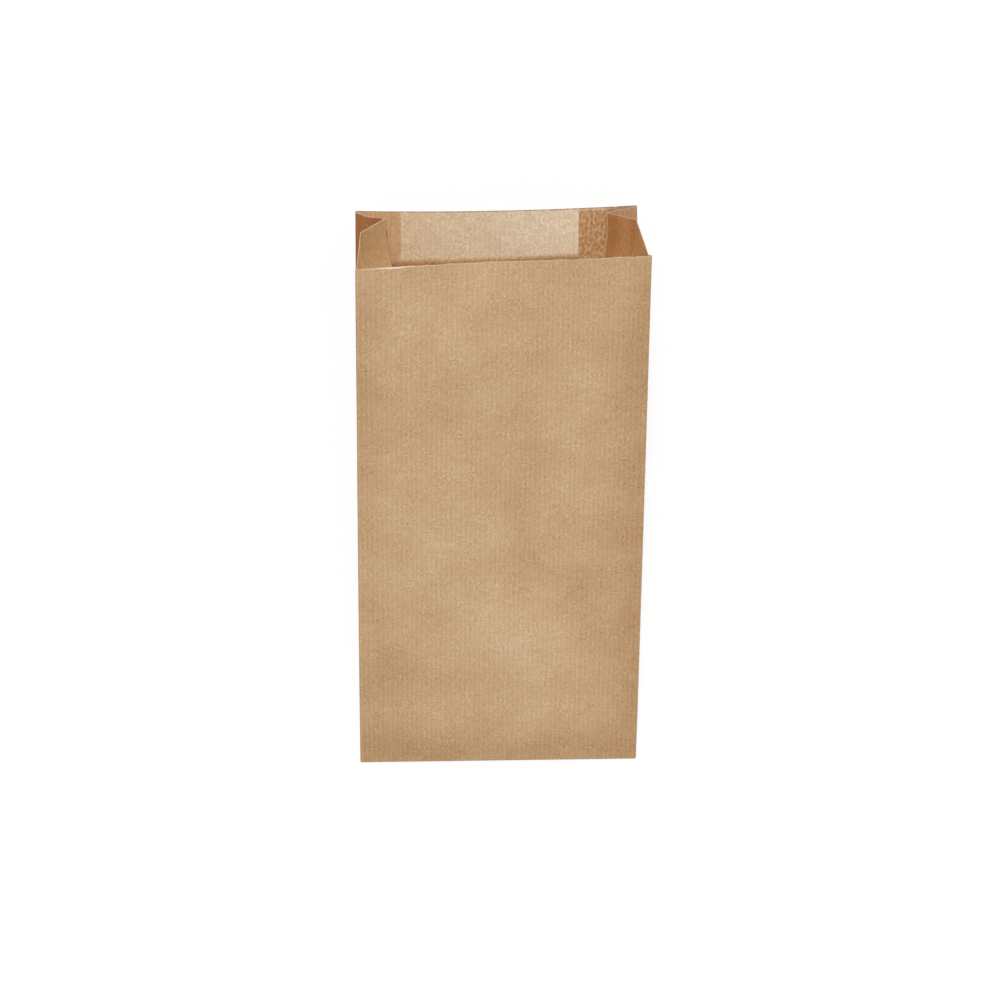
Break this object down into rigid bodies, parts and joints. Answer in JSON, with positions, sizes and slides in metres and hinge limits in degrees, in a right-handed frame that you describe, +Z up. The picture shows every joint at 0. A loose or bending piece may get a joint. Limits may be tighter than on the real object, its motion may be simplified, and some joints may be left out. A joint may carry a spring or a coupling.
{
  "type": "paper lunch bag",
  "caption": "Flat brown kraft paper lunch bag with folded-in sides and a glued bottom flap, lying on its back with the mouth pulled open to take food.",
  "frame": {"origin": "middle of the bag's outline, on the surface that its back panel lies on", "axes": "+Z up from the back panel, the mouth toward -Y, the bottom fold toward +Y, +X across the bag"},
  "size_m": [0.1, 0.2206, 0.0397],
  "materials": {
    "kraft_paper": "matt unbleached kraft with fine lengthwise ribs and a fibre fleck"
  },
  "bodies": {
    "root": {"paper_bag": "kraft_paper"}
  },
  "joints": []
}
